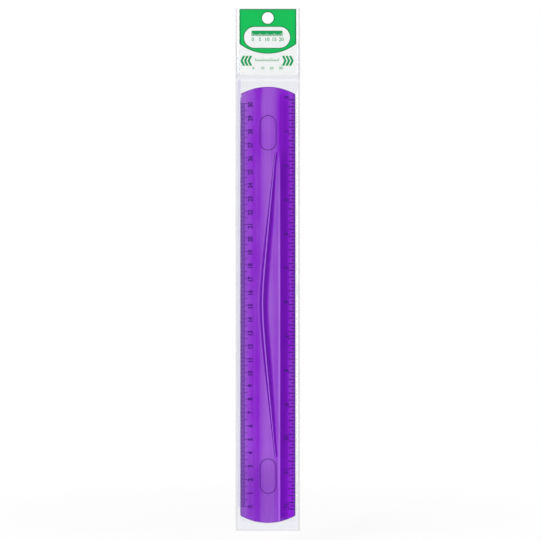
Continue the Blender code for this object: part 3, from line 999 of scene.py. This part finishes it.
def film_grid(name, low, high, row_height, depth):
    """A film between two corners, as (x, z). Depth gives its middle at a place."""
    columns = round((high[0] - low[0]) / FILM_CELL)
    rows = round((high[1] - low[1]) / row_height)
    sheet = upright_grid(name, low, high, columns, rows)
    for point in sheet.data.vertices:
        point.co.y = depth(point.co.x, point.co.z)
    return sheet


def make_film(name, node, low, high, depth, film, parts, has_hole):
    """A film of the bag. Each of its parts is a test of a place and the material there."""
    sheet = film_grid(name, low, high, FILM_ROW, depth)
    thicken(sheet)
    if has_hole:
        cut_hole(sheet)
    finish_piece(sheet, "bag", film, [node])
    for _, material in parts:
        sheet.data.materials.append(material)
    for face in sheet.data.polygons:
        for index, (is_there, _) in enumerate(parts, start=1):
            if is_there(face.center.x, face.center.z):
                face.material_index = index
                break


def in_weld(x, z):
    return abs(x) > WELD_X or z < BOTTOM_WELD_Z


def in_left_margin(x, z):
    """The film beside the blade, in the blade's shade down to the scale's zero."""
    return -WELD_X < x < -HALF_WIDTH and CENTIMETRE_ZERO_Z < z < MOUTH_Z


def in_card_margin(x, z):
    """The strip of film beside the card's left edge, darkened with the weld film as painted shade."""
    return -WELD_X < x < -HALF_CARD and z > SEAL_TOP_Z


def make_front_film(film, shaded, weld_and_shade_finish):
    def depth(x, z):
        return front_film_y(x, z) - FILM_THICKNESS / 2

    # The card's left margin takes the weld film as painted shade
    parts = [(in_weld, weld_and_shade_finish), (in_left_margin, shaded), (in_card_margin, weld_and_shade_finish)]
    low, high = FRONT_LOW.xz, FRONT_HIGH.xz
    make_film("bag_front", "front_film", low, high, depth, film, parts, has_hole=True)


def make_header_back(film, weld_and_shade_finish):
    middle = HEADER_BACK_LOW.y + FILM_THICKNESS / 2

    def depth(x, z):
        return middle + weld_waviness(x, z) + billow(x, z, *HEADER_BILLOW)

    parts = [(in_weld, weld_and_shade_finish)]
    low, high = HEADER_BACK_LOW.xz, HEADER_BACK_HIGH.xz
    make_film("bag_header_back", "header_back_film", low, high, depth, film, parts, has_hole=True)


def make_back_film(film, weld_and_shade_finish):
    middle = BACK_LOW.y + FILM_THICKNESS / 2

    def depth(x, z):
        inside = 1 - smooth_share(abs(x), WELD_X - EDGE_FADE, WELD_X)
        free = inside * (1 - smooth_share(z, *BACK_BILLOW_STOP))
        return middle + weld_waviness(x, z) + free * billow(x, z, *BACK_BILLOW)

    low, high = BACK_LOW.xz, (BACK_HIGH.x, BACK_TOP_Z)
    make_film("bag_back", "back_film", low, high, depth, film, [(in_weld, weld_and_shade_finish)], has_hole=False)


def make_closing_flap(film):
    """The flap, with the crease that joins it to the back film and rolls as it opens."""
    middle = FLAP_LOW.y + FILM_THICKNESS / 2
    high = FLAP_HIGH.xz

    def depth(x, z):
        away = smooth_share(z, *FLAP_BILLOW_START)
        return middle + weld_waviness(x, z) * (1 - away) + away * billow(x, z, *FLAP_BILLOW)

    flap = film_grid("bag_flap", (FLAP_LOW.x, BACK_TOP_Z), high, FLAP_ROW, depth)
    open_mesh(flap)
    for side in (-1, 1):
        bpy.ops.mesh.select_all(action="SELECT")
        corner = (side * (high[0] - FLAP_CORNER / 2), 0, high[1] - FLAP_CORNER / 2)
        bpy.ops.mesh.bisect(plane_co=corner, plane_no=(side, 0, 1), clear_outer=True)
    close_mesh()
    thicken(flap)
    settle(flap)
    flap.data.materials.append(film)
    bpy.ops.object.shade_smooth_by_angle(angle=SMOOTH_ANGLE)
    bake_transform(flap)
    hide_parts("closing_flap")


def make_adhesive_strip(tape):
    outline = node_points(STRIP_LOW, STRIP_HIGH)
    strip = flat_piece("sealing_strip", [outline], STRIP_LOW.y, STRIP_HIGH.y - STRIP_LOW.y)
    finish_piece(strip, "flap", tape, ["adhesive_strip"])


# Finishes

def fill(node, values):
    """Sets a node's inputs by name or number, to values or to other nodes' outputs."""
    for name, value in values.items():
        socket = node.inputs[name]
        if isinstance(value, bpy.types.NodeSocket):
            node.id_data.links.new(value, socket)
        elif socket.type == "RGBA":
            socket.default_value = (*value, 1.0)
        else:
            socket.default_value = value


def made(tree, kind, output, values, **settings):
    """The output of a new node, with its settings and inputs filled in."""
    node = tree.nodes.new("ShaderNode" + kind)
    for name, value in settings.items():
        setattr(node, name, value)
    fill(node, values)
    return node.outputs[output]


def new_finish(name):
    """A material, its Principled shader and the reader of object coordinates."""
    material = bpy.data.materials.new(name)
    material.use_nodes = True
    place = made(material.node_tree, "TexCoord", "Object", {})
    return material, material.node_tree.nodes["Principled BSDF"], place


def grain(vector, scale, detail=3.0, roughness=0.5):
    values = {"Vector": vector, "Scale": scale, "Detail": detail, "Roughness": roughness}
    return made(vector.id_data, "TexNoise", "Fac", values)


def long_grain(vector, scale, detail=3.0, roughness=0.5):
    """Noise with a direction: its scale has a value for each axis."""
    mapped = made(vector.id_data, "Mapping", "Vector", {"Vector": vector, "Scale": scale})
    return grain(mapped, 1.0, detail, roughness)


def ranged(value, low, high, to_low=0.0, to_high=1.0):
    """A value carried over from one range to another, and held at its ends."""
    values = {"Value": value, "From Min": low, "From Max": high, "To Min": to_low, "To Max": to_high}
    return made(value.id_data, "MapRange", "Result", values)


def worked(operation, first, second=0):
    """One sum on an output and a number or another output."""
    return made(first.id_data, "Math", "Value", {0: first, 1: second}, operation=operation)


def times(first, second):
    return worked("MULTIPLY", first, second)


def mixed(share, first, second):
    """A mix of two colours, which may be outputs of other nodes."""
    values = {"Factor": share, "A": first, "B": second}
    return made(share.id_data, "Mix", "Result", values, data_type="RGBA")


def bumped(shader, height, strength, distance):
    values = {"Height": height, "Strength": strength, "Distance": distance}
    fill(shader, {"Normal": made(height.id_data, "Bump", "Normal", values)})


def tone_across(x, tones):
    """The painted highlight and shade across the blade, as a tone from 0 to 1, with plain purple at
    0.5.
    """
    curve = x.id_data.nodes.new("ShaderNodeFloatCurve")
    fill(curve, {"Value": ranged(x, -TONE_REACH, TONE_REACH)})
    points = curve.mapping.curves[0].points
    places = [((x + TONE_REACH) / (2 * TONE_REACH), (tone + 1) / 2) for x, tone in tones]
    points[0].location = places[0]
    points[1].location = places[-1]
    for across, height in places[1:-1]:
        points.new(across, height)
    curve.mapping.update()
    return curve.outputs["Value"]


def tone_along(x, z):
    """The blade's painted highlight and shade, which change in its upper part and again at its top end.
    """
    tone = tone_across(x, TONES)
    for tones, run in ((UPPER_TONES, UPPER_TONES_RUN), (TOP_TONES, TOP_TONES_RUN)):
        change = worked("SUBTRACT", tone_across(x, tones), tone)
        tone = worked("ADD", tone, times(change, ranged(z, *run)))
    return tone


def shoulder_glint(x, z):
    """A light line along the right shoulder, stronger down the blade."""
    line = times(ranged(x, *GLINT_INNER_X), ranged(x, *GLINT_OUTER_X, 1.0, 0.0))
    return times(line, ranged(z, *GLINT_RUN, 0.0, GLINT_TONE / 2))


def end_rim(x, z):
    """1 along the blade's two rounded ends and 0 elsewhere."""
    from_middle = worked("ABSOLUTE", worked("SUBTRACT", z, BLADE_MIDDLE_Z))
    rise = worked("MAXIMUM", worked("SUBTRACT", from_middle, HALF_LENGTH - END_RADIUS), 0)
    reach = worked("SQRT", worked("ADD", worked("POWER", rise, 2), times(x, x)))
    return ranged(reach, END_RADIUS - RIM_INSIDE, END_RADIUS - RIM_OUTSIDE)


def beside_centimetres(z):
    """1 beside the centimetre scale, and 0 a millimetre beyond its ends."""
    over_zero = ranged(z, CENTIMETRE_ZERO_Z - MILLIMETRE_PITCH, CENTIMETRE_ZERO_Z)
    under_last = ranged(z, CENTIMETRE_LAST_Z, CENTIMETRE_LAST_Z + MILLIMETRE_PITCH, 1.0, 0.0)
    return times(over_zero, under_last)


def blade_finish():
    """Glossy translucent purple: flow streaks along the blade, deeper bevels and rubbed edges, with
    painted highlights, shade and film glare.
    """
    material, shader, place = new_finish("moulded_purple")
    parts = place.id_data.nodes.new("ShaderNodeSeparateXYZ")
    fill(parts, {"Vector": place})
    x, y, z = parts.outputs
    edge = ranged(x, *CENTIMETRE_EDGE_X)
    scale = beside_centimetres(z)
    on_face = ranged(y, BLADE_BACK_Y - EDGE_ROUNDING, BAND_Y)
    tone = tone_along(x, z)
    # Added to the tone: the rib's painted highlight and shade, flow streaks, clouds, the painted
    # lighter band beyond the scale and the painted shoulder glint
    for extra in (
        made(place.id_data, "Attribute", "Fac", {}, attribute_name="rib_shade"),
        ranged(long_grain(place, FLOW_SCALE), 0.3, 0.7, -STREAK_TONE, STREAK_TONE),
        ranged(grain(place, CLOUD_SCALE), 0.3, 0.7, -DRIFT_TONE, DRIFT_TONE),
        times(edge, ranged(scale, 0.0, 1.0, BARE_EDGE_TONE, 0.0)),
        shoulder_glint(x, z),
    ):
        tone = worked("ADD", tone, extra)
    pale = (PALE_TONE + 1) / 2
    # Painted film glare on the centimetre band
    painted_glare = times(edge, ranged(scale, 0.0, 1.0, BARE_EDGE_GLARE, SCALE_EDGE_GLARE))
    inch_shade = ranged(x, *INCH_EDGE_X, 0.0, INCH_EDGE_SHADE)
    foot = ranged(z, *FOOT_SHADE_RUN, 0.0, FOOT_SHADE)
    body = mixed(ranged(tone, 0.0, 0.5), DEEP_PURPLE, PURPLE)
    for share, colour in (
        (ranged(tone, 0.5, pale), PALE_PURPLE),
        (ranged(tone, pale, 1.0), GLINT_PURPLE),
        (times(painted_glare, on_face), PAINTED_GLARE_PURPLE),
        (times(inch_shade, on_face), SHADY_PURPLE),
        (times(foot, ranged(x, *FOOT_SHADE_END_X, 1.0, 0.0)), SHADY_PURPLE),
        (times(end_rim(x, z), RIM_SHADE), RIM_PURPLE),
        (ranged(worked("ABSOLUTE", x), HALF_WIDTH - WEAR_WIDTH, HALF_WIDTH, 0.0, WEAR), WORN_PURPLE),
    ):
        body = mixed(share, body, colour)
    fill(shader, {
        "Base Color": body,
        "Roughness": ranged(long_grain(place, RUB_SCALE, 4.0), 0.3, 0.8, 0.12, 0.24),
        "IOR": 1.46,
        "Specular IOR Level": 0.22,
    })
    bumped(shader, grain(place, 900.0, 2.0), 0.04, 0.0002)
    return material


def ink_finish(name, colour, light, roughness):
    """Printed ink with slightly uneven coverage."""
    material, shader, place = new_finish(name)
    cover = grain(place, 700.0, 4.0, 0.6)
    fill(shader, {
        "Base Color": mixed(ranged(cover, 0.55, 0.80, 0.0, 0.35), colour, light),
        "Roughness": ranged(cover, 0.3, 0.7, roughness, roughness + 0.15),
        "Specular IOR Level": 0.15,
    })
    bumped(shader, cover, 0.06, 0.0001)
    return material


def board_finish():
    """Coated white board with a faint fibre."""
    material, shader, place = new_finish("coated_board")
    fibre = long_grain(place, (1500, 1500, 500), 5.0, 0.6)
    colour = mixed(ranged(fibre, 0.45, 0.75, 0.0, 0.35), PAPER, SHADED_PAPER)
    fill(shader, {
        "Base Color": mixed(ranged(grain(place, 60.0), 0.5, 0.8, 0.0, 0.3), colour, SHADED_PAPER),
        "Roughness": ranged(fibre, 0.3, 0.7, 0.42, 0.58),
        "Specular IOR Level": 0.3,
    })
    bumped(shader, fibre, 0.12, 0.0001)
    return material


def film_finish(name, colour, haze, mirror, cover, bump):
    """Clear film, which mirrors or scatters a little light and lets the rest through."""
    material, shader, place = new_finish(name)
    scuff = long_grain(place, (260, 260, 90), 5.0, 0.65)
    fill(shader, {
        "Base Color": mixed(ranged(scuff, 0.45, 0.75), colour, haze),
        "Roughness": ranged(scuff, 0.3, 0.8, 0.05, 0.20),
        "Metallic": mirror,
        "Alpha": cover,
    })
    bumped(shader, grain(place, 140.0), bump, 0.0004)
    return material


def tape_finish():
    """Milky double-sided tape under its release strip."""
    material, shader, place = new_finish("milky_tape")
    cloud = grain(place, 240.0, 4.0)
    fill(shader, {
        "Base Color": mixed(cloud, SHADED_TAPE, TAPE),
        "Roughness": ranged(cloud, 0.3, 0.7, 0.3, 0.5),
        "Alpha": 0.55,
    })
    bumped(shader, cloud, 0.1, 0.0002)
    return material


# Floor, light and camera

def seen_share(tree, unseen, seen):
    """One level for what the camera sees, straight or through glass, another for the rest."""
    path = tree.nodes.new("ShaderNodeLightPath").outputs
    either = worked("MAXIMUM", path["Is Camera Ray"], path["Is Transmission Ray"])
    return ranged(either, 0.0, 1.0, unseen, seen)


def make_floor():
    """White paper, lit round the object to keep its shadow and plain white further out."""
    deselect()
    bpy.ops.mesh.primitive_plane_add(size=FLOOR_SIDE, location=(0, FLOOR_MIDDLE_Y, FLOOR_Z))
    floor = settle(active())
    floor.name = "studio_floor"
    material, shader, place = new_finish("pale_floor")
    fill(shader, {
        "Base Color": mixed(grain(place, 3.0), FLOOR_COLOUR, FLOOR_MOTTLE),
        "Roughness": 0.9,
        "Specular IOR Level": 0.0,
    })
    tree = material.node_tree
    centre = (0, FLOOR_FADE_CENTRE_Y, FLOOR_Z)
    away = made(tree, "VectorMath", "Value", {0: place, 1: centre}, operation="DISTANCE")
    far = ranged(away, FLOOR_FADE_START, FLOOR_FADE_END, FLOOR_PAPER_SHARE, 1.0)
    share = times(far, seen_share(tree, 0.0, 1.0))
    white = made(tree, "Emission", "Emission", {})
    surface = made(tree, "MixShader", "Shader", {0: share, 1: shader.outputs["BSDF"], 2: white})
    fill(tree.nodes["Material Output"], {"Surface": surface})
    floor.data.materials.append(material)


def make_world():
    world = bpy.data.worlds.new("studio")
    bpy.context.scene.world = world
    world.use_nodes = True
    light = seen_share(world.node_tree, WORLD_LEVEL, 1.0)
    fill(world.node_tree.nodes["Background"], {"Color": (1.0, 1.0, 1.0), "Strength": light})


def make_lamps():
    """Soft lamps that the camera doesn't see, turned to the blade's middle."""
    target = Vector((0, 0, BLADE_MIDDLE_Z))
    for name, place, size, watts in LAMPS:
        deselect()
        bpy.ops.object.light_add(type="AREA", location=place)
        lamp = active()
        lamp.name = name
        lamp.data.shape = "RECTANGLE"
        lamp.data.size = size[0]
        lamp.data.size_y = size[1]
        lamp.data.energy = watts
        lamp.rotation_euler = (target - Vector(place)).to_track_quat("-Z", "Y").to_euler()
        lamp.visible_camera = False


def make_camera():
    deselect()
    distance = PICTURE_SIDE_PIXELS * PIXEL * LENS_MM / SENSOR_MM
    place = (PICTURE_MIDDLE_X, FACE_Y - distance, PICTURE_MIDDLE_Z)
    bpy.ops.object.camera_add(location=place, rotation=UPRIGHT)
    camera = active()
    camera.data.lens = LENS_MM
    camera.data.sensor_width = SENSOR_MM
    bpy.context.scene.camera = camera


def build():
    make_camera()
    make_blade(blade_finish())
    scale_ink = ink_finish("scale_ink", INK_PURPLE, DEEP_PURPLE, 0.35)
    make_scales(scale_ink)
    make_stadium_frame("top_frame", TOP_FRAME_Z, scale_ink)
    make_stadium_frame("bottom_frame", BOTTOM_FRAME_Z, scale_ink)
    make_header_card(
        board_finish(),
        ink_finish("field_ink", FIELD_GREEN, LIGHT_GREEN, 0.30),
        ink_finish("keyline_ink", DEEP_GREEN, FIELD_GREEN, 0.32),
        ink_finish("motif_ink", MOTIF_GREEN, FIELD_GREEN, 0.32),
    )
    clear, cloudy, faint, shaded, weld_and_shade = [film_finish(*look) for look in FILMS]
    make_front_film(clear, shaded, weld_and_shade)
    make_header_back(faint, weld_and_shade)
    make_back_film(cloudy, weld_and_shade)
    make_closing_flap(faint)
    make_adhesive_strip(tape_finish())
    make_floor()
    make_world()
    make_lamps()
    bpy.context.scene.view_settings.view_transform = "Standard"
    bpy.context.scene.cycles.transparent_max_bounces = 32


build()
